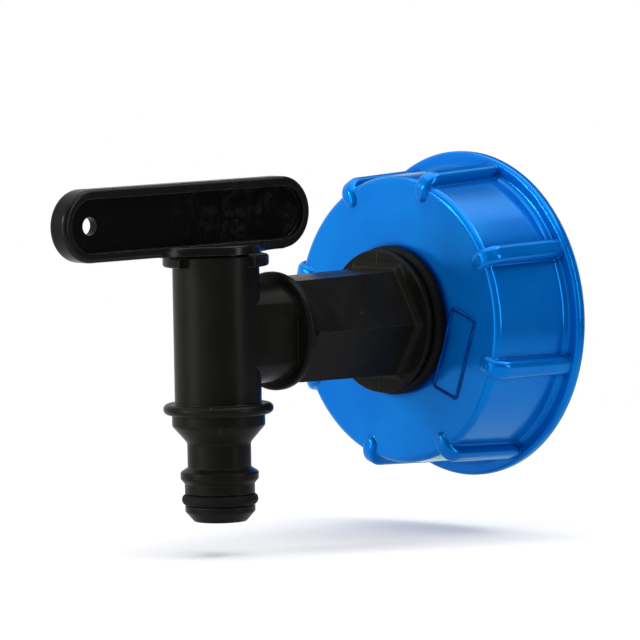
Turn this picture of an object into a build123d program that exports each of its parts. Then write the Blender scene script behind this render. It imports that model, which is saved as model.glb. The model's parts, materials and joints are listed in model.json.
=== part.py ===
from build123d import *
import math
import os

# A tap for an intermediate bulk container: a screw cap for the container's neck, and a lever tap
# screwed into the cap's face. Millimetres. The origin is the centre of the cap's open mouth, the inlet
# axis is the Y axis with +Y towards the container, +Z is up, and the lever's long end points to -Y.

# Cap: skirt, face, flange and threads
cap_depth = 24.0
container_thread_r = 30.3
cap_skirt_t = 2.6
cap_skirt_draft = 1.0
cap_edge_round = 1.5
cap_flange_w = 3.7
cap_flange_t = 2.6
cap_flange_round = 0.9
cap_flange_fillet = 1.5
cap_wall_t = 3.4
pipe_thread_r = 13.1
pipe_thread_clearance = 0.1
cap_boss_wall_t = 3.9

# Grip ribs of the cap
rib_count = 8
rib_first_angle = 27.8
rib_half_w = 2.1
rib_rise = 2.7
rib_top_round = 1.4
rib_face_rise = 1.5
rib_tip_rise = 0.9
rib_hook = 2.3
rib_bend_r = 1.6
rib_flare_r = 0.7
rib_flare_land = 0.1
rib_flare_sink = 0.15
rib_root = 1.2

# Gaskets
container_gasket_t = 3.0
container_gasket_step = 0.7
container_gasket_boss_gap = 3.0
container_gasket_clearance = 0.3
inlet_gasket_t = 3.1
inlet_gasket_proud = 0.7
inlet_gasket_land = 0.3
inlet_gasket_clearance = 0.2

# Tap body along the inlet axis, from the spigot to the barrel
spigot_recess = 0.3
spigot_wall_t = 4.2
spigot_chamfer = 1.0
flange_seat_step = 1.2
flange_seat_t = 1.2
flange_land = 0.18
flange_t = 1.4
flange_round = 0.4
hex_flats = 22.9
hex_length = 31.5
hex_draft = 0.8
hex_flare_r = 1.8
hex_corner_chamfer = 0.9
shoulder_proud = 0.2
shoulder_t = 2.3
shoulder_round = 0.8
neck_length = 16.2
neck_side_inset = 0.55
neck_shoulder_step = 2.0
neck_round = 1.2

# Water way through the tap body
inlet_cone_length = 8.0
port_r = 3.9
outlet_bore_r = 4.4

# Barrel
barrel_bore_r = 7.6
barrel_wall_t = 2.15
barrel_top = 18.3
barrel_round = 0.5
barrel_floor = -14.0

# Stop lugs at the barrel's top
lug_w = 2.15
lug_h = 2.55
lug_round = 0.6
lug_front_right = 5.0
lug_front_left = -86.0

# Click-on nozzle below the barrel
nozzle_flange_drop = 1.0
nozzle_flange_w = 2.6
nozzle_flange_t = 2.4
nozzle_flange_land = 0.1
nozzle_body_w = 0.7
nozzle_body_h = 2.6
nozzle_body_round = 1.0
nozzle_cone_h = 3.8
nozzle_wall_t = 2.77
nozzle_neck_h = 5.5
nozzle_neck_fillet = 1.5
nozzle_collar_w = 1.63
nozzle_collar_h = 1.5
nozzle_collar_slope = 1.1
nozzle_collar_round = 0.5
nozzle_tip_w = 0.73
nozzle_tip_h = 6.2
nozzle_end_w = 2.0
nozzle_end_h = 2.3
nozzle_end_round = 0.5

# Nozzle ring and its groove
nozzle_ring_section_r = 1.3
nozzle_ring_drop = 3.55
nozzle_ring_proud = 0.7
ring_seat_clearance = 0.05
ring_side_clearance = 0.15

# Plug and its seals
plug_clearance = 0.05
plug_floor_clearance = 0.4
plug_wall_t = 3.35
plug_bore_rise = 0.9
plug_bead_drop = 3.7
plug_bead_h = 1.2
plug_bead_rise = 0.4
plug_bead_clearance = 0.3
plug_ring_section_r = 0.75
plug_ring_inset = 0.05
plug_ring_z = 9.6
seat_w = 1.7
seat_t = 2.6
seat_clearance = 0.05

# Lever: plate, foot and stop tab
lever_gap = 0.4
lever_front = 46.9
lever_back = 26.9
lever_height = 16.2
lever_t = 5.4
lever_web_t = 2.1
lever_rim_w = 2.1
lever_edge_round = 1.0
lever_hole_r = 2.0
lever_hole_inset = 8.65
foot_overhang = 0.45
foot_h = 2.0
foot_flare_r = 16.0
foot_flare_run = 0.3
foot_round = 0.6
lever_travel = 90.0
tab_rest_angle = 180.0
tab_width_angle = 17.0
tab_stop_angle = 0.5
tab_inset = 0.2
tab_clearance = 0.35
tab_short = 0.3

# Allowances: how far a cut runs past the face it opens, and how near an edge must lie to be picked
cut_past = 1.0
pick_near = 0.01

# Radii that follow from the sizes above
cap_face_r = container_thread_r + cap_skirt_t
cap_skirt_back_r = cap_face_r + cap_skirt_draft
cap_flange_r = cap_skirt_back_r + cap_flange_w
cap_boss_r = pipe_thread_r + cap_boss_wall_t
container_gasket_seat_r = container_thread_r - container_gasket_step
container_gasket_in_r = cap_boss_r + container_gasket_boss_gap
spigot_r = pipe_thread_r - pipe_thread_clearance
inlet_bore_r = spigot_r - spigot_wall_t
hex_corner_r = hex_flats / 2 / math.cos(math.pi / 6)
shoulder_r = hex_corner_r + shoulder_proud
hex_growth = hex_length * math.tan(math.radians(hex_draft))
hex_back_corner_r = (hex_flats / 2 + hex_growth + hex_flare_r) / math.cos(math.pi / 6)
flange_r = hex_back_corner_r + flange_land + flange_round
flange_seat_r = flange_r - flange_seat_step
inlet_gasket_r = flange_r + inlet_gasket_proud
inlet_gasket_round = (inlet_gasket_t - inlet_gasket_land) / 2
barrel_r = barrel_bore_r + barrel_wall_t
lug_r = barrel_r + lug_w
nozzle_flange_r = barrel_r + nozzle_flange_w
nozzle_flange_round = (nozzle_flange_t - nozzle_flange_land) / 2
nozzle_body_r = barrel_r + nozzle_body_w
nozzle_neck_r = outlet_bore_r + nozzle_wall_t
nozzle_collar_r = nozzle_neck_r + nozzle_collar_w
nozzle_tip_r = nozzle_neck_r + nozzle_tip_w
nozzle_end_r = nozzle_tip_r - nozzle_end_w
nozzle_ring_r = nozzle_tip_r + nozzle_ring_proud - nozzle_ring_section_r
nozzle_groove_r = nozzle_ring_r - nozzle_ring_section_r - ring_seat_clearance
nozzle_groove_half = nozzle_ring_section_r + ring_side_clearance
plug_r = barrel_bore_r - plug_clearance
plug_bore_r = plug_r - plug_wall_t
plug_ring_r = plug_r - plug_ring_inset - plug_ring_section_r
plug_groove_r = plug_ring_r - plug_ring_section_r - ring_seat_clearance
plug_groove_half = plug_ring_section_r + ring_side_clearance
seat_r = port_r + seat_w
foot_r = barrel_r + foot_overhang
tab_r = lug_r - tab_inset

# Places along the inlet axis that follow from the sizes above
cap_face_y = -cap_depth
cap_floor_y = cap_face_y + cap_wall_t
thread_bottom_y = cap_floor_y + container_gasket_t
spigot_end_y = thread_bottom_y - spigot_recess
flange_seat_y = cap_face_y - inlet_gasket_t
flange_back_y = flange_seat_y - flange_seat_t
flange_front_y = flange_back_y - flange_t
hex_front_y = flange_front_y - hex_length
shoulder_front_y = hex_front_y - shoulder_t
barrel_y = shoulder_front_y - neck_length
seat_back_y = barrel_y + barrel_bore_r + seat_t

# Places up the barrel axis that follow from the sizes above
lever_bottom = barrel_top + lever_gap
tab_bottom = barrel_top - lug_h + tab_short
plug_bottom = barrel_floor + plug_floor_clearance
plug_bead_z = barrel_top - plug_bead_drop
nozzle_flange_top = barrel_floor - nozzle_flange_drop
nozzle_body_top = nozzle_flange_top - nozzle_flange_t
nozzle_cone_top = nozzle_body_top - nozzle_body_h
nozzle_neck_top = nozzle_cone_top - nozzle_cone_h
nozzle_neck_bottom = nozzle_neck_top - nozzle_neck_h
nozzle_collar_top = nozzle_neck_bottom - nozzle_collar_slope
nozzle_collar_bottom = nozzle_collar_top - nozzle_collar_h
nozzle_tip_top = nozzle_collar_bottom - nozzle_collar_slope
nozzle_tip_bottom = nozzle_tip_top - nozzle_tip_h
nozzle_end = nozzle_tip_bottom - nozzle_end_h
nozzle_ring_z = nozzle_tip_top - nozzle_ring_drop


def outline(corners):
    """A closed face from corners (across, along, rounding)."""
    points = [(across, along) for across, along, rounding in corners]
    roundings = [rounding for across, along, rounding in corners]
    return make_face(FilletPolyline(*points, radius=roundings, close=True))


def turned_on_inlet(corners):
    """A solid of revolution about the inlet axis, from corners (radius, y, rounding)."""
    return revolve(outline(corners), Axis.Y)


def turned_on_barrel(corners, start=0.0, arc=360.0):
    """A solid of revolution about the barrel axis, from corners (radius, z, rounding)."""
    turned = revolve(Plane.XZ * outline(corners), Axis.Z, revolution_arc=arc)
    return Pos(0, barrel_y, 0) * Rot(0, 0, start) * turned


def ring_on_inlet(in_r, out_r, back_y, front_y):
    """A plain round ring on the inlet axis."""
    return turned_on_inlet([(in_r, front_y, 0), (out_r, front_y, 0), (out_r, back_y, 0), (in_r, back_y, 0)])


def rod_on_inlet(r, back_y, front_y):
    """A round rod on the inlet axis, used for bores as well."""
    middle = Pos(0, (back_y + front_y) / 2, 0) * Rot(90, 0, 0)
    return middle * Cylinder(r, back_y - front_y)


def rod_on_barrel(r, bottom, top):
    """A round rod on the barrel axis, used for bores as well."""
    return Pos(0, barrel_y, (bottom + top) / 2) * Cylinder(r, top - bottom)


def grip_rib():
    """One grip rib: a rounded bar up the skirt, round the edge and onto the face, where its end is round."""
    bend = (cap_face_r, cap_face_y + rib_rise - rib_face_rise)
    tip = (cap_face_r - rib_hook, cap_face_y + rib_rise - rib_tip_rise)
    foot = (cap_skirt_back_r, -cap_flange_t / 2)
    path = FilletPolyline(tip, bend, foot, radius=[rib_bend_r])
    flare_w = rib_half_w + rib_flare_r + rib_flare_land
    bar = Pos(0, (rib_rise - rib_root) / 2) * Rectangle(2 * rib_half_w, rib_rise + rib_root)
    bar = fillet(bar.vertices().group_by(Axis.Y)[-1], rib_top_round)
    section = bar + Pos(0, -rib_flare_sink - rib_root / 2) * Rectangle(2 * flare_w, rib_root)
    inner_corners = section.vertices().filter_by_position(Axis.Y, -rib_root, 0)
    inner_corners = inner_corners.filter_by_position(Axis.X, -rib_half_w - pick_near, rib_half_w + pick_near)
    section = fillet(inner_corners, rib_flare_r)
    start = Plane(path @ 0, x_dir=(0, 0, 1), z_dir=path % 0)
    tip_end = turned_on_inlet(
        [
            (0, cap_face_y - rib_tip_rise, 0),
            (rib_half_w, cap_face_y - rib_tip_rise, rib_top_round),
            (rib_half_w, tip[1] + rib_root, 0),
            (0, tip[1] + rib_root, 0),
        ]
    )
    return sweep(start * section, path=path) + Pos(tip[0], 0, 0) * tip_end


def make_adapter_cap():
    shell = turned_on_inlet(
        [
            (0, cap_face_y, 0),
            (cap_face_r, cap_face_y, cap_edge_round),
            (cap_skirt_back_r, -cap_flange_t, cap_flange_fillet),
            (cap_flange_r, -cap_flange_t, cap_flange_round),
            (cap_flange_r, 0, cap_flange_round),
            (0, 0, 0),
        ]
    )
    rib = grip_rib()
    for index in range(rib_count):
        angle = rib_first_angle + index * 360.0 / rib_count
        shell += Rot(0, -angle, 0) * rib
    hollow = rod_on_inlet(container_thread_r, cut_past, thread_bottom_y)
    hollow += rod_on_inlet(container_gasket_seat_r, thread_bottom_y, cap_floor_y)
    hollow -= rod_on_inlet(cap_boss_r, thread_bottom_y, cap_floor_y)
    pipe_hole = rod_on_inlet(pipe_thread_r, cut_past, cap_face_y - cut_past)
    return shell - hollow - pipe_hole


def make_container_gasket():
    out_r = container_gasket_seat_r - container_gasket_clearance
    return ring_on_inlet(container_gasket_in_r, out_r, cap_floor_y + container_gasket_t, cap_floor_y)


def make_inlet_gasket():
    in_r = spigot_r + inlet_gasket_clearance
    return turned_on_inlet(
        [
            (in_r, flange_seat_y, 0),
            (inlet_gasket_r, flange_seat_y, inlet_gasket_round),
            (inlet_gasket_r, cap_face_y, inlet_gasket_round),
            (in_r, cap_face_y, 0),
        ]
    )


def make_inlet_arm():
    """Spigot, flange, spanner hexagon, shoulder and neck, all on the inlet axis and without the bore."""
    spigot = turned_on_inlet(
        [
            (0, flange_front_y, 0),
            (flange_r, flange_front_y, flange_round),
            (flange_r, flange_back_y, flange_round),
            (flange_seat_r, flange_back_y, 0),
            (flange_seat_r, flange_seat_y, 0),
            (spigot_r, flange_seat_y, 0),
            (spigot_r, spigot_end_y - spigot_chamfer, 0),
            (spigot_r - spigot_chamfer, spigot_end_y, 0),
            (0, spigot_end_y, 0),
        ]
    )
    hex_start = Plane(origin=(0, hex_front_y, 0), x_dir=(1, 0, 0), z_dir=(0, 1, 0))
    hexagon = extrude(hex_start * RegularPolygon(hex_corner_r, 6), hex_length, taper=-hex_draft)
    corner_cone = turned_on_inlet(
        [
            (0, hex_front_y, 0),
            (hex_corner_r - hex_corner_chamfer, hex_front_y, 0),
            (hex_corner_r + flange_r, hex_front_y + flange_r + hex_corner_chamfer, 0),
            (hex_corner_r + flange_r, flange_front_y, 0),
            (0, flange_front_y, 0),
        ]
    )
    arm = spigot + (hexagon & corner_cone)
    root = arm.edges().filter_by_position(Axis.Y, flange_front_y - pick_near, flange_front_y + pick_near)
    arm = fillet(root.filter_by(GeomType.LINE), hex_flare_r)
    shoulder = turned_on_inlet(
        [
            (0, shoulder_front_y, 0),
            (shoulder_r, shoulder_front_y, shoulder_round),
            (shoulder_r, hex_front_y, shoulder_round),
            (0, hex_front_y, 0),
        ]
    )
    neck_start = Plane(origin=(0, barrel_y, 0), x_dir=(1, 0, 0), z_dir=(0, 1, 0))
    neck_side = barrel_r - neck_side_inset
    neck_r = shoulder_r - neck_shoulder_step
    neck_section = Circle(neck_r) & Rectangle(2 * neck_side, 2 * neck_r)
    neck_section = fillet(neck_section.vertices(), neck_round)
    neck = extrude(neck_start * neck_section, neck_length)
    return arm + shoulder + neck


def make_barrel():
    """Barrel and click-on nozzle as one turned form, without the bores."""
    groove_top = nozzle_ring_z + nozzle_groove_half
    groove_bottom = nozzle_ring_z - nozzle_groove_half
    return turned_on_barrel(
        [
            (0, barrel_top, 0),
            (barrel_r, barrel_top, barrel_round),
            (barrel_r, nozzle_flange_top, 0),
            (nozzle_flange_r, nozzle_flange_top, nozzle_flange_round),
            (nozzle_flange_r, nozzle_body_top, nozzle_flange_round),
            (nozzle_body_r, nozzle_body_top, 0),
            (nozzle_body_r, nozzle_cone_top, nozzle_body_round),
            (nozzle_neck_r, nozzle_neck_top, nozzle_neck_fillet),
            (nozzle_neck_r, nozzle_neck_bottom, 0),
            (nozzle_collar_r, nozzle_collar_top, nozzle_collar_round),
            (nozzle_collar_r, nozzle_collar_bottom, nozzle_collar_round),
            (nozzle_tip_r, nozzle_tip_top, 0),
            (nozzle_tip_r, groove_top, 0),
            (nozzle_groove_r, groove_top, 0),
            (nozzle_groove_r, groove_bottom, 0),
            (nozzle_tip_r, groove_bottom, 0),
            (nozzle_tip_r, nozzle_tip_bottom, nozzle_end_round),
            (nozzle_end_r, nozzle_end, nozzle_end_round),
            (0, nozzle_end, 0),
        ]
    )


def make_lug(start, end):
    """One stop lug, an arc round the barrel's top between two angles."""
    inside_r = (barrel_r + barrel_bore_r) / 2
    return turned_on_barrel(
        [
            (inside_r, barrel_top - lug_h, 0),
            (lug_r, barrel_top - lug_h, lug_round),
            (lug_r, barrel_top, lug_round),
            (inside_r, barrel_top, 0),
        ],
        start,
        end - start,
    )


def make_tap_body():
    solid = make_inlet_arm() + make_barrel()
    half_tab = tab_width_angle / 2 + tab_stop_angle
    solid += make_lug(lug_front_right, tab_rest_angle - lever_travel - half_tab)
    solid += make_lug(tab_rest_angle + half_tab, lug_front_left + 360.0)

    seat_pocket_r = seat_r + seat_clearance
    water_way = turned_on_inlet(
        [
            (0, spigot_end_y + cut_past, 0),
            (inlet_bore_r, spigot_end_y + cut_past, 0),
            (inlet_bore_r, seat_back_y + inlet_cone_length, 0),
            (port_r, seat_back_y, 0),
            (port_r, barrel_y, 0),
            (0, barrel_y, 0),
        ]
    )
    solid -= water_way
    solid -= rod_on_inlet(seat_pocket_r, seat_back_y, barrel_y)
    solid -= rod_on_barrel(barrel_bore_r, barrel_floor, barrel_top + cut_past)
    solid -= rod_on_barrel(outlet_bore_r, nozzle_end - cut_past, barrel_floor + cut_past)
    bead_half = plug_bead_h / 2 + plug_bead_clearance
    bead_groove_r = plug_r + plug_bead_rise + plug_bead_clearance
    solid -= rod_on_barrel(bead_groove_r, plug_bead_z - bead_half, plug_bead_z + bead_half)
    return solid


def make_port_seat():
    """Rubber seat ring round the inlet port, its face hollowed to the barrel's bore."""
    ring = ring_on_inlet(port_r, seat_r, seat_back_y, barrel_y)
    return ring - rod_on_barrel(barrel_bore_r, barrel_floor, barrel_top)


def make_ring(ring_r, section_r, z):
    """A round rubber ring on the barrel axis."""
    return Pos(0, barrel_y, z) * Torus(ring_r, section_r)


def make_plug():
    """The hollow rotary plug: grooves for two rings, a snap bead, a bore from below and a side port."""
    bead_half = plug_bead_h / 2
    bead_r = plug_r + plug_bead_rise
    foot_inside = lever_bottom + foot_h / 2
    plug = turned_on_barrel(
        [
            (0, foot_inside, 0),
            (plug_r, foot_inside, 0),
            (plug_r, plug_bead_z + bead_half, 0),
            (bead_r, plug_bead_z + bead_half, 0),
            (bead_r, plug_bead_z, 0),
            (plug_r, plug_bead_z - bead_half, 0),
            (plug_r, plug_bottom, 0),
            (0, plug_bottom, 0),
        ]
    )
    for z in (plug_ring_z, -plug_ring_z):
        groove = rod_on_barrel(plug_r + cut_past, z - plug_groove_half, z + plug_groove_half)
        plug -= groove - rod_on_barrel(plug_groove_r, z - plug_groove_half, z + plug_groove_half)
    plug -= rod_on_barrel(plug_bore_r, plug_bottom - cut_past, port_r + plug_bore_rise)
    plug -= rod_on_inlet(port_r, barrel_y + plug_r + cut_past, barrel_y)
    return plug


def make_lever_plate():
    """Stadium-shaped plate with a raised rim round a recessed panel on each face."""
    length = lever_front + lever_back
    centre_y = barrel_y + (lever_back - lever_front) / 2
    middle = Plane(origin=(0, centre_y, lever_bottom + lever_height / 2), x_dir=(0, 1, 0), z_dir=(1, 0, 0))
    plate = extrude(middle * SlotOverall(length, lever_height), lever_t / 2, both=True)
    plate = fillet(plate.faces().filter_by(Axis.X).edges(), lever_edge_round)
    panel = middle * SlotOverall(length - 2 * lever_rim_w, lever_height - 2 * lever_rim_w)
    for side in (1, -1):
        pocket = Pos(side * lever_web_t / 2, 0, 0) * extrude(panel, side * lever_t)
        plate -= pocket
    hole_y = barrel_y - lever_front + lever_hole_inset
    hole = Pos(0, hole_y, lever_bottom + lever_height / 2) * Rot(0, 90, 0) * Cylinder(lever_hole_r, 2 * lever_t)
    return plate - hole


def make_lever_foot():
    """Round foot below the plate, flared into both of its faces, with the stop tab on its hidden side."""
    half_t = lever_t / 2
    flare_reach = math.sqrt((foot_r + foot_flare_r) ** 2 - (half_t + foot_flare_r) ** 2)
    plan = Circle(foot_r) + Rectangle(lever_t, 2 * (flare_reach + foot_flare_run))
    inner_corners = plan.vertices().filter_by_position(Axis.Y, -foot_r, foot_r)
    plan = fillet(inner_corners, foot_flare_r)
    foot = extrude(Pos(0, barrel_y, lever_bottom) * plan, foot_h)
    top = foot.faces().sort_by(Axis.Z)[-1]
    foot = fillet(top.edges().filter_by(GeomType.CIRCLE), foot_round)
    tab_start = tab_rest_angle - tab_width_angle / 2
    ear = turned_on_barrel(
        [
            (plug_r, lever_bottom, 0),
            (tab_r, lever_bottom, 0),
            (tab_r, lever_bottom + foot_h - foot_round, 0),
            (plug_r, lever_bottom + foot_h - foot_round, 0),
        ],
        tab_start,
        tab_width_angle,
    )
    tab = turned_on_barrel(
        [
            (barrel_r + tab_clearance, tab_bottom, 0),
            (tab_r, tab_bottom, 0),
            (tab_r, lever_bottom, 0),
            (barrel_r + tab_clearance, lever_bottom, 0),
        ],
        tab_start,
        tab_width_angle,
    )
    return foot + ear + tab


def make_lever_plug():
    return make_lever_plate() + make_lever_foot() + make_plug()


parts = {
    "adapter_cap": make_adapter_cap(),
    "container_gasket": make_container_gasket(),
    "inlet_gasket": make_inlet_gasket(),
    "tap_body": make_tap_body(),
    "port_seat": make_port_seat(),
    "lever_plug": make_lever_plug(),
    "plug_o_ring_upper": make_ring(plug_ring_r, plug_ring_section_r, plug_ring_z),
    "plug_o_ring_lower": make_ring(plug_ring_r, plug_ring_section_r, -plug_ring_z),
    "nozzle_o_ring": make_ring(nozzle_ring_r, nozzle_ring_section_r, nozzle_ring_z),
}

os.makedirs("parts", exist_ok=True)
for name, solid in parts.items():
    export_step(solid, os.path.join("parts", name + ".step"))
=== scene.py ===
import json
import math

import bmesh
import bpy
from mathutils import Matrix, Vector


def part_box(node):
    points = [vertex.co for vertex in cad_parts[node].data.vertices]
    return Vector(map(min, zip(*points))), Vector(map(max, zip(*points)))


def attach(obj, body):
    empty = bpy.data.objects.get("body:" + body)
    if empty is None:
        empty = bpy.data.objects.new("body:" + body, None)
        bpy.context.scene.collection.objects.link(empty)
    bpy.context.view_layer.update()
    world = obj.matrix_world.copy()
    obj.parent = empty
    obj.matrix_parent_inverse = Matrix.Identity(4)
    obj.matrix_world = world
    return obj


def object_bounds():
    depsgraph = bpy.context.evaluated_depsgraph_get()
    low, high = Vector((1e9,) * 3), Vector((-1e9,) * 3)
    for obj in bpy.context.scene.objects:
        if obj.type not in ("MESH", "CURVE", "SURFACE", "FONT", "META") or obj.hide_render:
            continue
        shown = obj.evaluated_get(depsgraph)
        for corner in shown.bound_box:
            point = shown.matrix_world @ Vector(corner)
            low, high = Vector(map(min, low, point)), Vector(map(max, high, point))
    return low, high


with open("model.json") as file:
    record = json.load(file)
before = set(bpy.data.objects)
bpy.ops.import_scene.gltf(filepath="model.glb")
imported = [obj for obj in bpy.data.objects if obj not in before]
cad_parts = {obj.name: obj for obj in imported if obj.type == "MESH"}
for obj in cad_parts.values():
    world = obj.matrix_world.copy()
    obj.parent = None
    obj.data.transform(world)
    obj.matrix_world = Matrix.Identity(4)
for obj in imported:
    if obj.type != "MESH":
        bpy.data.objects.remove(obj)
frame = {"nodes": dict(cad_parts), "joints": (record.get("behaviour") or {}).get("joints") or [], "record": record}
cad_low, cad_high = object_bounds()


# Screw cap: one injection moulding of blue polypropylene, with eight grip ribs that hook over its face.
# It screws onto the neck of the container, and the tap's spigot is sealed into the hole in its middle.
# The skin is glossy and a little cloudy where the melt flowed. A small metallic share tints its highlights blue.
cap_face_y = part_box("inlet_gasket")[1].y
cap_thread_end_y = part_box("container_gasket")[1].y
cap_blue = (0.0012, 0.174, 0.650, 1.0)
cap_blue_deep = (0.0009, 0.140, 0.600, 1.0)
cap_blue_worn_and_highlit = (0.0180, 0.380, 0.900, 1.0)
cap_blue_painted_shade = (0.0005, 0.040, 0.330, 1.0)
cap_gloss_tint = (0.06, 1.0, 0.60, 1.0)
cap_gloss_level = 0.26
cap_metallic_share = 0.28
cap_skin = {"Grains per metre": 2600.0, "Clouds per metre": 60.0, "Specks per metre": 300.0}
cap_edge_r = 0.00045
cap_edge_wear_and_highlight = 0.8
cap_edge_polish = 0.08
cap_corner_reach = 0.0020
cap_roughness_low = 0.15
cap_roughness_high = 0.22
cap_grain_strength = 0.25
cap_grain_depth = 0.00004


def set_inputs(tree, node, values):
    for socket, value in values.items():
        if isinstance(value, bpy.types.NodeSocket):
            tree.links.new(value, node.inputs[socket])
        else:
            node.inputs[socket].default_value = value


def add(tree, kind, values={}, **settings):
    node = tree.nodes.new(kind)
    for name, value in settings.items():
        setattr(node, name, value)
    set_inputs(tree, node, values)
    return node


def blend_colour(tree, mask, low, high):
    return add(tree, "ShaderNodeMix", {0: mask, 6: low, 7: high}, data_type="RGBA").outputs[2]


def remap(tree, value, from_low, from_high, to_low, to_high):
    node = add(tree, "ShaderNodeMapRange", {0: value, 1: from_low, 2: from_high, 3: to_low, 4: to_high})
    return node.outputs[0]


def between(tree, mask, low, high):
    return remap(tree, mask, 0.0, 1.0, low, high)


def combine(tree, operation, first, second):
    return add(tree, "ShaderNodeMath", {0: first, 1: second}, operation=operation).outputs[0]


# The marks of moulding: fine grain from the tool, clouds where the melt flowed, and a few round dust specks.
def make_moulded_skin_group():
    speck_core = 0.05
    speck_rim = 0.09
    speck_rarity = 0.93
    cloud_low = 0.3
    cloud_high = 0.7
    group = bpy.data.node_groups.new("moulded_skin", "ShaderNodeTree")
    for name in ("Grains per metre", "Clouds per metre", "Specks per metre"):
        group.interface.new_socket(name, in_out="INPUT", socket_type="NodeSocketFloat")
    for name in ("Grain", "Cloud", "Speck"):
        group.interface.new_socket(name, in_out="OUTPUT", socket_type="NodeSocketFloat")
    wanted = add(group, "NodeGroupInput").outputs
    place = add(group, "ShaderNodeTexCoord").outputs["Object"]
    grain = add(group, "ShaderNodeTexNoise",
                {"Vector": place, "Scale": wanted["Grains per metre"], "Detail": 3.0})
    cloud = add(group, "ShaderNodeTexNoise",
                {"Vector": place, "Scale": wanted["Clouds per metre"], "Detail": 2.5, "Distortion": 0.6})
    cells = add(group, "ShaderNodeTexVoronoi", {"Vector": place, "Scale": wanted["Specks per metre"]})
    chance = add(group, "ShaderNodeSeparateColor", {0: cells.outputs["Color"]}).outputs[0]
    dot = remap(group, cells.outputs["Distance"], speck_core, speck_rim, 1.0, 0.0)
    picked = combine(group, "GREATER_THAN", chance, speck_rarity)
    add(group, "NodeGroupOutput",
        {"Grain": grain.outputs[0], "Cloud": remap(group, cloud.outputs[0], cloud_low, cloud_high, 0.0, 1.0),
         "Speck": combine(group, "MULTIPLY", dot, picked)})
    return group


# Paler edges, partly rubbed by hands and tools and partly painted highlight, in patches.
# They are found where a rounded normal leaves the surface's own.
def make_worn_and_highlit_edge_group():
    edge_starts = 0.99
    edge_full = 0.80
    patches_per_metre = 420.0
    patch_low = 0.38
    patch_high = 0.62
    least_edge_share = 0.15
    group = bpy.data.node_groups.new("worn_and_highlit_edge", "ShaderNodeTree")
    group.interface.new_socket("Radius", in_out="INPUT", socket_type="NodeSocketFloat")
    group.interface.new_socket("Edge", in_out="OUTPUT", socket_type="NodeSocketFloat")
    group.interface.new_socket("Normal", in_out="OUTPUT", socket_type="NodeSocketVector")
    radius = add(group, "NodeGroupInput").outputs["Radius"]
    rounded = add(group, "ShaderNodeBevel", {"Radius": radius}, samples=6).outputs[0]
    surface = add(group, "ShaderNodeNewGeometry").outputs["Normal"]
    alike = add(group, "ShaderNodeVectorMath", {0: rounded, 1: surface}, operation="DOT_PRODUCT")
    edge = remap(group, alike.outputs["Value"], edge_starts, edge_full, 0.0, 1.0)
    place = add(group, "ShaderNodeTexCoord").outputs["Object"]
    patchy = add(group, "ShaderNodeTexNoise", {"Vector": place, "Scale": patches_per_metre, "Detail": 4.0})
    edge_patchiness = remap(group, patchy.outputs[0], patch_low, patch_high, least_edge_share, 1.0)
    add(group, "NodeGroupOutput", {"Edge": combine(group, "MULTIPLY", edge, edge_patchiness), "Normal": rounded})
    return group


# Painted shade: inner corners are coloured deeper, found by how much of the open sky a point sees.
def make_painted_corner_shade_group():
    sky_open = 0.92
    sky_shut = 0.45
    group = bpy.data.node_groups.new("painted_corner_shade", "ShaderNodeTree")
    group.interface.new_socket("Reach", in_out="INPUT", socket_type="NodeSocketFloat")
    group.interface.new_socket("Corner", in_out="OUTPUT", socket_type="NodeSocketFloat")
    reach = add(group, "NodeGroupInput").outputs["Reach"]
    open_sky = add(group, "ShaderNodeAmbientOcclusion", {"Distance": reach}, samples=8)
    add(group, "NodeGroupOutput", {"Corner": remap(group, open_sky.outputs["AO"], sky_open, sky_shut, 0.0, 1.0)})
    return group


moulded_skin = make_moulded_skin_group()
worn_and_highlit_edge = make_worn_and_highlit_edge_group()
painted_corner_shade = make_painted_corner_shade_group()


def start_material(name, gloss_level):
    material = bpy.data.materials.new(name)
    material.use_nodes = True
    shader = material.node_tree.nodes["Principled BSDF"]
    shader.inputs["Specular IOR Level"].default_value = gloss_level
    return material, material.node_tree, shader


def make_cap_blue(name, deep, pale, edge_colour_worn_and_highlit):
    material, tree, shader = start_material(name, cap_gloss_level)
    skin = add(tree, "ShaderNodeGroup", cap_skin, node_tree=moulded_skin).outputs
    edge = add(tree, "ShaderNodeGroup", {"Radius": cap_edge_r}, node_tree=worn_and_highlit_edge).outputs
    corner = add(tree, "ShaderNodeGroup", {"Reach": cap_corner_reach}, node_tree=painted_corner_shade).outputs
    clouded = blend_colour(tree, skin["Cloud"], deep, pale)
    # Painted shade: inner corners take a deeper blue.
    corner_shaded = blend_colour(tree, corner["Corner"], clouded, cap_blue_painted_shade)
    # Edges are painted paler, partly as wear and partly as painted highlight.
    worn_and_highlit = blend_colour(tree, between(tree, edge["Edge"], 0.0, cap_edge_wear_and_highlight), corner_shaded, edge_colour_worn_and_highlit)
    satin = between(tree, skin["Cloud"], cap_roughness_low, cap_roughness_high)
    polish = between(tree, edge["Edge"], 0.0, cap_edge_polish)
    bump = add(tree, "ShaderNodeBump", {"Height": skin["Grain"], "Normal": edge["Normal"],
                                        "Strength": cap_grain_strength, "Distance": cap_grain_depth})
    set_inputs(tree, shader, {"Base Color": worn_and_highlit, "Roughness": combine(tree, "SUBTRACT", satin, polish),
                              "Normal": bump.outputs[0], "Specular Tint": cap_gloss_tint,
                              "Metallic": cap_metallic_share})
    return material


cap_blue_polypropylene = make_cap_blue("cap_blue_polypropylene", cap_blue_deep, cap_blue, cap_blue_worn_and_highlit)
frame["nodes"]["adapter_cap"].material_slots[0].material = cap_blue_polypropylene


def piece_from(name, work, material, body):
    sharp_angle = math.radians(35)
    bmesh.ops.recalc_face_normals(work, faces=work.faces)
    mesh = bpy.data.meshes.new(name)
    work.to_mesh(mesh)
    work.free()
    mesh.materials.append(material)
    mesh.shade_smooth()
    mesh.set_sharp_from_angle(angle=sharp_angle)
    piece = bpy.data.objects.new(name, mesh)
    bpy.context.collection.objects.link(piece)
    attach(piece, body)


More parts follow.
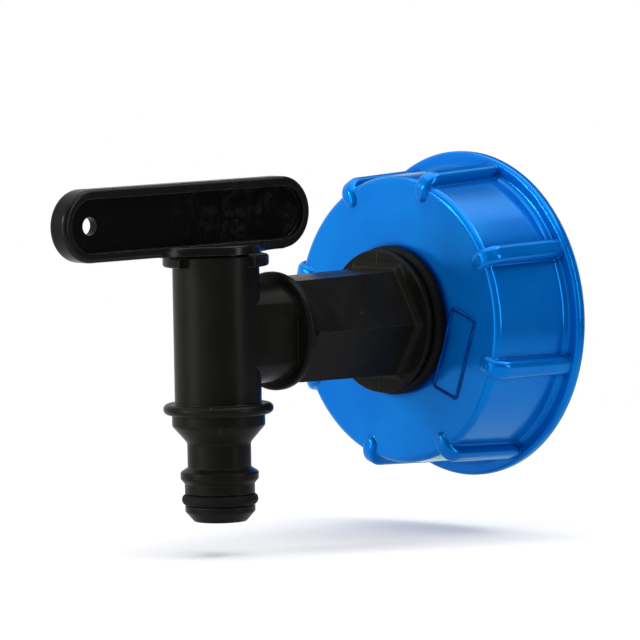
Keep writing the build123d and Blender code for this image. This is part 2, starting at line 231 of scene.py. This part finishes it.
def sweep(work, sections, closed):
    rings = [[work.verts.new(point) for point in section] for section in sections]
    pairs = list(zip(rings, rings[1:]))
    if closed:
        pairs.append((rings[-1], rings[0]))
    for near, far in pairs:
        for i in range(len(near)):
            j = (i + 1) % len(near)
            work.faces.new((near[i], near[j], far[j], far[i]))
    if not closed:
        work.faces.new(rings[0])
        work.faces.new(rings[-1])


# Container thread: the coarse ridge moulded inside the cap's skirt, of the cap's own blue polypropylene.
# It winds two turns from the mouth to the gasket, and both of its ends run out to nothing.
thread_wall_r = frame["record"]["mounts"][0]["dims"]["r_mm"] / 1000
thread_pitch = 0.0060
thread_turns = 2.1
thread_depth = 0.0013
thread_foot_w = 0.0032
thread_crest_w = 0.0014
thread_sink = 0.00015
thread_steps = 220
thread_run_out = 0.10
thread_end_share = 0.04


def make_container_thread():
    sections = []
    rise = thread_pitch * thread_turns
    start_y = cap_thread_end_y / 2 - rise / 2
    for step in range(thread_steps + 1):
        along = step / thread_steps
        turn = math.tau * thread_turns * along
        ease = min(1.0, along / thread_run_out, (1 - along) / thread_run_out)
        depth = thread_depth * (thread_end_share + (1 - thread_end_share) * math.sin(ease * math.pi / 2))
        out = Vector((math.sin(turn), 0.0, math.cos(turn)))
        y = start_y + rise * along
        foot_r = thread_wall_r + thread_sink
        crest_r = thread_wall_r - depth
        corners = ((foot_r, -thread_foot_w / 2), (crest_r, -thread_crest_w / 2),
                   (crest_r, thread_crest_w / 2), (foot_r, thread_foot_w / 2))
        sections.append([out * r + Vector((0.0, y + offset, 0.0)) for r, offset in corners])
    work = bmesh.new()
    sweep(work, sections, False)
    piece_from("container_thread_ridge", work, cap_blue_polypropylene, "tap")


make_container_thread()


# Size frame: a low raised border on the cap's face, cut into the mould so that it stands a hair proud.
# It is part of the blue moulding and lies along the rim, below the tap's hexagon, with nothing inside it.
# It is coloured far darker than the face, as painted shade.
size_frame_r = 0.0202
size_frame_angle = math.radians(-20.1)
size_frame_length = 0.0193
size_frame_width = 0.0077
size_frame_corner_r = 0.0009
size_frame_corner_steps = 6
size_frame_line_w = 0.00095
size_frame_top_w = 0.00045
size_frame_rise = 0.00042
size_frame_sink = 0.00010
size_frame_shaded_blue = (0.0006, 0.026, 0.240, 1.0)
size_frame_shaded_blue_deep = (0.0004, 0.018, 0.180, 1.0)


def rounded_border(length, width, corner_r, corner_steps):
    points = []
    quarter = math.pi / 2
    for index, (a, b) in enumerate(((1, 1), (-1, 1), (-1, -1), (1, -1))):
        centre = Vector((a * (width / 2 - corner_r), b * (length / 2 - corner_r)))
        for step in range(corner_steps + 1):
            turn = quarter * (index + step / corner_steps)
            out = Vector((math.cos(turn), math.sin(turn)))
            points.append((centre + out * corner_r, out))
    return points


def make_size_frame():
    radial = Vector((math.cos(size_frame_angle), 0.0, math.sin(size_frame_angle)))
    along = Vector((-math.sin(size_frame_angle), 0.0, math.cos(size_frame_angle)))
    centre = radial * size_frame_r + Vector((0.0, cap_face_y, 0.0))
    section = ((-size_frame_line_w / 2, -size_frame_sink), (-size_frame_top_w / 2, size_frame_rise),
               (size_frame_top_w / 2, size_frame_rise), (size_frame_line_w / 2, -size_frame_sink))
    border = rounded_border(size_frame_length, size_frame_width, size_frame_corner_r, size_frame_corner_steps)
    sections = []
    for point, out in border:
        ring = []
        for across, rise in section:
            flat = point + out * across
            ring.append(centre + radial * flat.x + along * flat.y - Vector((0.0, rise, 0.0)))
        sections.append(ring)
    work = bmesh.new()
    sweep(work, sections, True)
    painted_shade = make_cap_blue("size_frame_painted_shade_blue", size_frame_shaded_blue_deep, size_frame_shaded_blue, cap_blue_deep)
    piece_from("size_frame", work, painted_shade, "tap")


make_size_frame()


# Gaskets: the flat ring in the cap's floor that seals on the container's neck, and the thick ring that the
# tap's flange squeezes against the cap's face. Both are moulded black rubber, matt, with a faint grey bloom.
rubber_black = (0.0022, 0.0022, 0.0022, 1.0)
rubber_bloom = (0.0050, 0.0050, 0.0050, 1.0)
rubber_gloss_level = 0.08
rubber_skin = {"Grains per metre": 5200.0, "Clouds per metre": 180.0, "Specks per metre": 700.0}
rubber_roughness_low = 0.52
rubber_roughness_high = 0.70
rubber_grain_strength = 0.5
rubber_grain_depth = 0.00005


def make_seal_rubber():
    material, tree, shader = start_material("seal_rubber", rubber_gloss_level)
    skin = add(tree, "ShaderNodeGroup", rubber_skin, node_tree=moulded_skin).outputs
    bump = add(tree, "ShaderNodeBump", {"Height": combine(tree, "ADD", skin["Grain"], skin["Speck"]),
                                        "Strength": rubber_grain_strength, "Distance": rubber_grain_depth})
    set_inputs(tree, shader, {
        "Base Color": blend_colour(tree, skin["Cloud"], rubber_black, rubber_bloom),
        "Roughness": between(tree, skin["Cloud"], rubber_roughness_low, rubber_roughness_high),
        "Normal": bump.outputs[0]})
    return material


seal_rubber = make_seal_rubber()
for ring in ("container_gasket", "inlet_gasket"):
    frame["nodes"][ring].material_slots[0].material = seal_rubber


# Tap body: one injection moulding of black polypropylene with spigot, flange, hexagon, neck, barrel and nozzle.
# Its skin is finely eroded by the tool, matt to satin, with dull flow clouds, a few dust specks and paler edges.
# The paler edges are partly rubbed and partly painted highlight.
body_black = (0.0090, 0.0088, 0.0077, 1.0)
body_black_deep = (0.0064, 0.0062, 0.0054, 1.0)
black_worn_and_highlit = (0.0880, 0.0860, 0.0805, 1.0)
dust_grey = (0.1100, 0.1080, 0.1030, 1.0)
body_gloss_level = 0.050
body_skin = {"Grains per metre": 4200.0, "Clouds per metre": 110.0, "Specks per metre": 260.0}
body_edge_r = 0.00030
body_edge_wear_and_highlight = 0.75
body_edge_coat = 0.28
body_coat_roughness = 0.16
body_dust_cover = 0.5
body_roughness_low = 0.27
body_roughness_high = 0.37
body_grain_strength = 0.35
body_grain_depth = 0.00005


def make_body_black(name, deep, pale):
    material, tree, shader = start_material(name, body_gloss_level)
    skin = add(tree, "ShaderNodeGroup", body_skin, node_tree=moulded_skin).outputs
    edge = add(tree, "ShaderNodeGroup", {"Radius": body_edge_r}, node_tree=worn_and_highlit_edge).outputs
    clouded = blend_colour(tree, skin["Cloud"], deep, pale)
    # Edges are painted paler, partly as wear and partly as painted highlight.
    worn_and_highlit = blend_colour(tree, between(tree, edge["Edge"], 0.0, body_edge_wear_and_highlight), clouded, black_worn_and_highlit)
    dusted = blend_colour(tree, between(tree, skin["Speck"], 0.0, body_dust_cover), worn_and_highlit, dust_grey)
    bump = add(tree, "ShaderNodeBump", {"Height": skin["Grain"], "Normal": edge["Normal"],
                                        "Strength": body_grain_strength, "Distance": body_grain_depth})
    set_inputs(tree, shader, {
        "Base Color": dusted,
        "Roughness": between(tree, skin["Cloud"], body_roughness_low, body_roughness_high),
        "Coat Weight": between(tree, edge["Edge"], 0.0, body_edge_coat),
        "Coat Roughness": body_coat_roughness,
        "Normal": bump.outputs[0]})
    return material


body_black_polypropylene = make_body_black("body_black_polypropylene", body_black_deep, body_black)
frame["nodes"]["tap_body"].material_slots[0].material = body_black_polypropylene


# Parting lines: the thin seams that the two halves of the mould leave along the hexagon, top and bottom.
# They are part of the black moulding, follow the hexagon's draft, and climb the flange where it flares.
# Their crests are rubbed, so they are a little paler than the body.
hex_front_y = -0.0612
hex_back_y = -0.0297
hex_half_flats = 0.01145
hex_draft = math.radians(0.8)
hex_growth = (hex_back_y - hex_front_y) * math.tan(hex_draft)
hex_flare_r = 0.0018
flange_rim_z = 0.0159
seam_w = 0.00042
seam_top_w = 0.00016
seam_rise = 0.00012
seam_sink = 0.00008
seam_start_gap = 0.0003
seam_flare_steps = 6
seam_end_share = 0.15
seam_black = (0.0240, 0.0232, 0.0215, 1.0)
seam_black_deep = (0.0120, 0.0116, 0.0106, 1.0)

seam_rubbed_black = make_body_black("seam_rubbed_black", seam_black_deep, seam_black)


def make_parting_line(name, side):
    back_z = hex_half_flats + hex_growth
    path = [(hex_front_y + seam_start_gap, hex_half_flats), (hex_back_y - hex_flare_r, back_z)]
    for step in range(1, seam_flare_steps + 1):
        turn = math.pi / 2 * step / seam_flare_steps
        path.append((hex_back_y - hex_flare_r * (1 - math.sin(turn)), back_z + hex_flare_r * (1 - math.cos(turn))))
    path.append((hex_back_y, flange_rim_z))
    last = len(path) - 1
    sections = []
    for index, (y, z) in enumerate(path):
        before = Vector(path[max(index - 1, 0)])
        after = Vector(path[min(index + 1, last)])
        run = (after - before).normalized()
        out = Vector((-run.y, run.x))
        crest = seam_rise * (seam_end_share if index in (0, last) else 1.0)
        ring = []
        for across, rise in ((-seam_w / 2, -seam_sink), (-seam_top_w / 2, crest),
                             (seam_top_w / 2, crest), (seam_w / 2, -seam_sink)):
            ring.append(Vector((across, y + out.x * rise, side * (z + out.y * rise))))
        sections.append(ring)
    work = bmesh.new()
    sweep(work, sections, False)
    piece_from(name, work, seam_rubbed_black, "tap")


make_parting_line("parting_line_top", 1)
make_parting_line("parting_line_bottom", -1)


# Gate mark: the small round stub left on the nozzle's cone where the melt entered the mould and was cut off.
# It is part of the black moulding, with a shallow dished face and a rough middle.
barrel_y = frame["joints"][0]["pos_m"][1]
gate_z = -0.0206
gate_cone_r = 0.00985
gate_angle = math.radians(-37.7)
gate_slope = math.radians(-40.0)
gate_r = 0.0007
gate_rise = 0.00028
gate_steps = 20
gate_profile = ((1.15, -0.6), (1.0, 0.6), (0.85, 1.0), (0.55, 0.75), (0.3, 0.8), (0.12, 1.1))


def make_gate_mark():
    out = Vector((math.cos(gate_angle), math.sin(gate_angle), 0.0))
    lean = out * math.cos(gate_slope) + Vector((0.0, 0.0, math.sin(gate_slope)))
    turned = lean.to_track_quat("Z", "Y").to_matrix().to_4x4()
    seat = Matrix.Translation(Vector((0.0, barrel_y, gate_z)) + out * gate_cone_r) @ turned
    sections = []
    for reach, rise in gate_profile:
        ring = []
        for step in range(gate_steps):
            turn = math.tau * step / gate_steps
            across = gate_r * reach
            ring.append(seat @ Vector((across * math.cos(turn), across * math.sin(turn), gate_rise * rise)))
        sections.append(ring)
    work = bmesh.new()
    sweep(work, sections, False)
    piece_from("gate_mark", work, body_black_polypropylene, "tap")


make_gate_mark()


# Seat and rings: the seat round the inlet port, the plug's two rings and the ring in the nozzle's groove.
# All four are the same moulded black rubber as the gaskets, greased when the tap is put together.
for ring in ("port_seat", "plug_o_ring_upper", "plug_o_ring_lower", "nozzle_o_ring"):
    frame["nodes"][ring].material_slots[0].material = seal_rubber


# Lever and plug: one moulding of black polypropylene, pressed into the barrel and turned by hand.
# Its recessed panels are smoother and darker than the body, with flow marks, and darker than the rim as painted
# shade.
# Its rim is rubbed by fingers, and its edges are painted paler, partly as wear and partly as painted highlight.
lever_panel_shaded_black = (0.0022, 0.0022, 0.0021, 1.0)
lever_grey_flow = (0.0088, 0.0088, 0.0084, 1.0)
lever_black_rim = (0.0078, 0.0075, 0.0065, 1.0)
panel_x = 0.0016
rim_x = 0.0024
flow_start_y = -0.094
flow_full_y = -0.076
flow_least = 0.12
flow_marks_per_metre = 620.0
flow_mark_low = 0.40
flow_mark_high = 0.66
flow_patches_per_metre = 130.0
flow_patch_low = 0.44
flow_patch_high = 0.60
lever_gloss_level = 0.055
lever_skin = {"Grains per metre": 3800.0, "Clouds per metre": 150.0, "Specks per metre": 260.0}
lever_edge_r = 0.00030
lever_edge_wear_and_highlight = 0.75
lever_coat = 0.10
lever_edge_coat = 0.25
lever_coat_roughness = 0.18
lever_dust_cover = 0.35
lever_roughness_low = 0.25
lever_roughness_high = 0.42
lever_grain_strength = 0.3
lever_grain_depth = 0.00005


def make_lever_black():
    material, tree, shader = start_material("lever_black_polypropylene", lever_gloss_level)
    skin = add(tree, "ShaderNodeGroup", lever_skin, node_tree=moulded_skin).outputs
    edge = add(tree, "ShaderNodeGroup", {"Radius": lever_edge_r}, node_tree=worn_and_highlit_edge).outputs
    place = add(tree, "ShaderNodeTexCoord").outputs["Object"]
    mark = add(tree, "ShaderNodeTexNoise",
               {"Vector": place, "Scale": flow_marks_per_metre, "Detail": 5.0, "Distortion": 0.3})
    patch = add(tree, "ShaderNodeTexNoise",
                {"Vector": place, "Scale": flow_patches_per_metre, "Detail": 2.0, "Distortion": 0.8})
    along = add(tree, "ShaderNodeSeparateXYZ", {0: place}).outputs
    reach = remap(tree, along["Y"], flow_start_y, flow_full_y, flow_least, 1.0)
    proud = remap(tree, combine(tree, "ABSOLUTE", along["X"], 0.0), panel_x, rim_x, 0.0, 1.0)
    mottle = combine(tree, "MULTIPLY", remap(tree, mark.outputs[0], flow_mark_low, flow_mark_high, 0.0, 1.0),
                     remap(tree, patch.outputs[0], flow_patch_low, flow_patch_high, 0.0, 1.0))
    streak = combine(tree, "MULTIPLY", mottle, reach)
    panel = blend_colour(tree, streak, lever_panel_shaded_black, lever_grey_flow)
    # Painted shade: the recessed panel is coloured darker than the raised rim.
    rimmed = blend_colour(tree, proud, panel, lever_black_rim)
    # Edges are painted paler, partly as wear and partly as painted highlight.
    worn_and_highlit = blend_colour(tree, between(tree, edge["Edge"], 0.0, lever_edge_wear_and_highlight), rimmed, black_worn_and_highlit)
    dusted = blend_colour(tree, between(tree, skin["Speck"], 0.0, lever_dust_cover), worn_and_highlit, dust_grey)
    bump = add(tree, "ShaderNodeBump", {"Height": skin["Grain"], "Normal": edge["Normal"],
                                        "Strength": lever_grain_strength, "Distance": lever_grain_depth})
    set_inputs(tree, shader, {
        "Base Color": dusted,
        "Roughness": between(tree, streak, lever_roughness_low, lever_roughness_high),
        "Coat Weight": between(tree, edge["Edge"], lever_coat, lever_edge_coat),
        "Coat Roughness": lever_coat_roughness,
        "Normal": bump.outputs[0]})
    return material


lever_black_polypropylene = make_lever_black()
frame["nodes"]["lever_plug"].material_slots[0].material = lever_black_polypropylene


# Studio: a round white floor a little below the nozzle fades out into a white room, and is clear from below.
# A large soft lamp and a small one stand to the left, a wide one hangs above and a narrow one behind. Dark
# cards and two white strips stand to the right, behind the camera and behind the cap, only to be reflected.
floor_gap = 0.0077
floor_z = cad_low.z - floor_gap
floor_r = 0.36
floor_steps = 96
floor_fade_start_r = floor_r * 0.25
floor_fade_end_r = floor_r * 0.95
floor_white = (0.80, 0.80, 0.80, 1.0)
floor_glow = 0.28
card_dark = (0.01, 0.01, 0.01, 1.0)
plain_white = (1.0, 1.0, 1.0, 1.0)
middle = Vector((0.0, -0.055, 0.0))


def add_flat_piece(name, points, material):
    mesh = bpy.data.meshes.new(name)
    mesh.from_pydata([tuple(p) for p in points], [], [list(range(len(points)))])
    mesh.materials.append(material)
    made = bpy.data.objects.new(name, mesh)
    bpy.context.collection.objects.link(made)
    return made


def seen_rays(tree):
    path = add(tree, "ShaderNodeLightPath").outputs
    mirrored = combine(tree, "ADD", path["Is Camera Ray"], path["Is Glossy Ray"])
    total = combine(tree, "ADD", mirrored, path["Is Transmission Ray"])
    return combine(tree, "MINIMUM", total, 1.0)


def make_floor_white():
    material = bpy.data.materials.new("floor_white")
    material.use_nodes = True
    tree = material.node_tree
    tree.nodes.clear()
    matt = add(tree, "ShaderNodeBsdfDiffuse", {"Color": floor_white})
    glow = add(tree, "ShaderNodeEmission", {"Strength": combine(tree, "MULTIPLY", seen_rays(tree), floor_glow)})
    both = add(tree, "ShaderNodeAddShader", {0: matt.outputs[0], 1: glow.outputs[0]})
    clear = add(tree, "ShaderNodeBsdfTransparent")
    place = add(tree, "ShaderNodeTexCoord").outputs["Object"]
    far = add(tree, "ShaderNodeVectorMath", {0: place, 1: (middle.x, middle.y, floor_z)}, operation="DISTANCE")
    fade = remap(tree, far.outputs["Value"], floor_fade_start_r, floor_fade_end_r, 0.0, 1.0)
    below = add(tree, "ShaderNodeNewGeometry").outputs["Backfacing"]
    mixed = add(tree, "ShaderNodeMixShader",
                {0: combine(tree, "MAXIMUM", fade, below), 1: both.outputs[0], 2: clear.outputs[0]})
    add(tree, "ShaderNodeOutputMaterial", {"Surface": mixed.outputs[0]})
    return material


floor_points = []
for step in range(floor_steps):
    turn = math.tau * step / floor_steps
    floor_points.append((middle.x + floor_r * math.cos(turn), middle.y + floor_r * math.sin(turn), floor_z))
add_flat_piece("floor", floor_points, make_floor_white())


def make_card(name, colour, glow):
    material, tree, shader = start_material(name, gloss_level=0.0)
    set_inputs(tree, shader, {"Base Color": colour, "Roughness": 1.0,
                              "Emission Color": plain_white, "Emission Strength": glow})
    return material


card_black = make_card("card_black", card_dark, glow=0.0)
card_white = make_card("card_white", floor_white, glow=8.0)


def stand_card(name, material, bearing, distance, width, low, high):
    turn = math.radians(bearing)
    foot = middle + Vector((math.sin(turn), -math.cos(turn), 0.0)) * distance
    half = Vector((math.cos(turn), math.sin(turn), 0.0)) * width / 2
    bottom = Vector((0.0, 0.0, low))
    top = Vector((0.0, 0.0, high))
    card = add_flat_piece(name, [foot - half + bottom, foot + half + bottom, foot + half + top, foot - half + top],
                          material)
    card.visible_camera = False
    card.visible_shadow = False
    card.visible_diffuse = False


stand_card("card_right", card_black, bearing=118, distance=0.70, width=1.20, low=-0.30, high=0.75)
stand_card("card_camera", card_black, bearing=50, distance=0.75, width=0.75, low=-0.30, high=0.75)
stand_card("card_high", card_black, bearing=186, distance=0.75, width=1.60, low=0.22, high=0.80)
stand_card("card_strip", card_white, bearing=106, distance=0.60, width=0.12, low=-0.05, high=0.45)
stand_card("card_back", card_white, bearing=133, distance=0.25, width=0.40, low=0.68, high=0.80)

room_right_light = 0.08
room_left_light = 0.42
room_floor_light = 1.20
room_seen_light = 1.0
room_left = (-0.83, -0.55, 0.0)
room_wall_blend = 0.8
room_horizon_blend = 0.05

world = bpy.data.worlds.new("white_room")
bpy.context.scene.world = world
world.use_nodes = True
room = world.node_tree
room_place = add(room, "ShaderNodeTexCoord").outputs["Generated"]
room_height = add(room, "ShaderNodeSeparateXYZ", {0: room_place}).outputs["Z"]
room_side = add(room, "ShaderNodeVectorMath", {0: room_place, 1: room_left}, operation="DOT_PRODUCT")
room_wall = remap(room, room_side.outputs["Value"], -room_wall_blend, room_wall_blend,
                  room_right_light, room_left_light)
room_level = remap(room, room_height, -room_horizon_blend, room_horizon_blend, room_floor_light, room_wall)
room_strength = add(room, "ShaderNodeMix", {0: seen_rays(room), 2: room_level, 3: room_seen_light})
set_inputs(room, room.nodes["Background"], {"Color": plain_white, "Strength": room_strength.outputs[0]})


def hang_lamp(name, offset, width, height, watts):
    data = bpy.data.lights.new(name, "AREA")
    data.shape = "RECTANGLE"
    data.size = width
    data.size_y = height
    data.energy = watts
    lamp = bpy.data.objects.new(name, data)
    lamp.location = middle + Vector(offset)
    lamp.rotation_euler = (-Vector(offset)).to_track_quat("-Z", "Y").to_euler()
    bpy.context.collection.objects.link(lamp)


hang_lamp("lamp_left", offset=(-0.38, -1.08, 0.10), width=0.6, height=0.9, watts=5.8)
hang_lamp("lamp_top", offset=(0.05, 0.10, 1.0), width=1.4, height=1.4, watts=11.5)
hang_lamp("lamp_key", offset=(-0.50, -0.95, 0.35), width=0.22, height=0.22, watts=4.0)
hang_lamp("lamp_back", offset=(0.48, 0.45, 0.95), width=0.5, height=0.18, watts=2.0)


# Camera: a long lens a little above the height of the tap, about a metre and a half away.
# It looks from the front right, past the barrel towards the cap, and is tipped by about a degree.
camera_azimuth = math.radians(46.61)
camera_elevation = math.radians(4.47)
camera_roll = math.radians(-1.02)
camera_distance = 1.46143
camera_right = 0.02300
camera_up = 0.00361

back = Vector((math.sin(camera_azimuth) * math.cos(camera_elevation),
               -math.cos(camera_azimuth) * math.cos(camera_elevation), math.sin(camera_elevation)))
level_right = Vector((math.cos(camera_azimuth), math.sin(camera_azimuth), 0.0))
level_up = back.cross(level_right)
right = level_right * math.cos(camera_roll) + level_up * math.sin(camera_roll)
up = level_up * math.cos(camera_roll) - level_right * math.sin(camera_roll)
stand = Vector((0.0, barrel_y, 0.0)) + back * camera_distance + right * camera_right + up * camera_up

camera_data = bpy.data.cameras.new("camera")
camera_data.sensor_width = 36.0
camera_data.lens = 367.75
camera_data.clip_start = 0.05
camera_data.clip_end = 20.0
camera = bpy.data.objects.new("camera", camera_data)
camera.matrix_world = Matrix.Translation(stand) @ Matrix((right, up, back)).transposed().to_4x4()
bpy.context.collection.objects.link(camera)
bpy.context.scene.camera = camera
bpy.context.scene.view_settings.view_transform = "Standard"
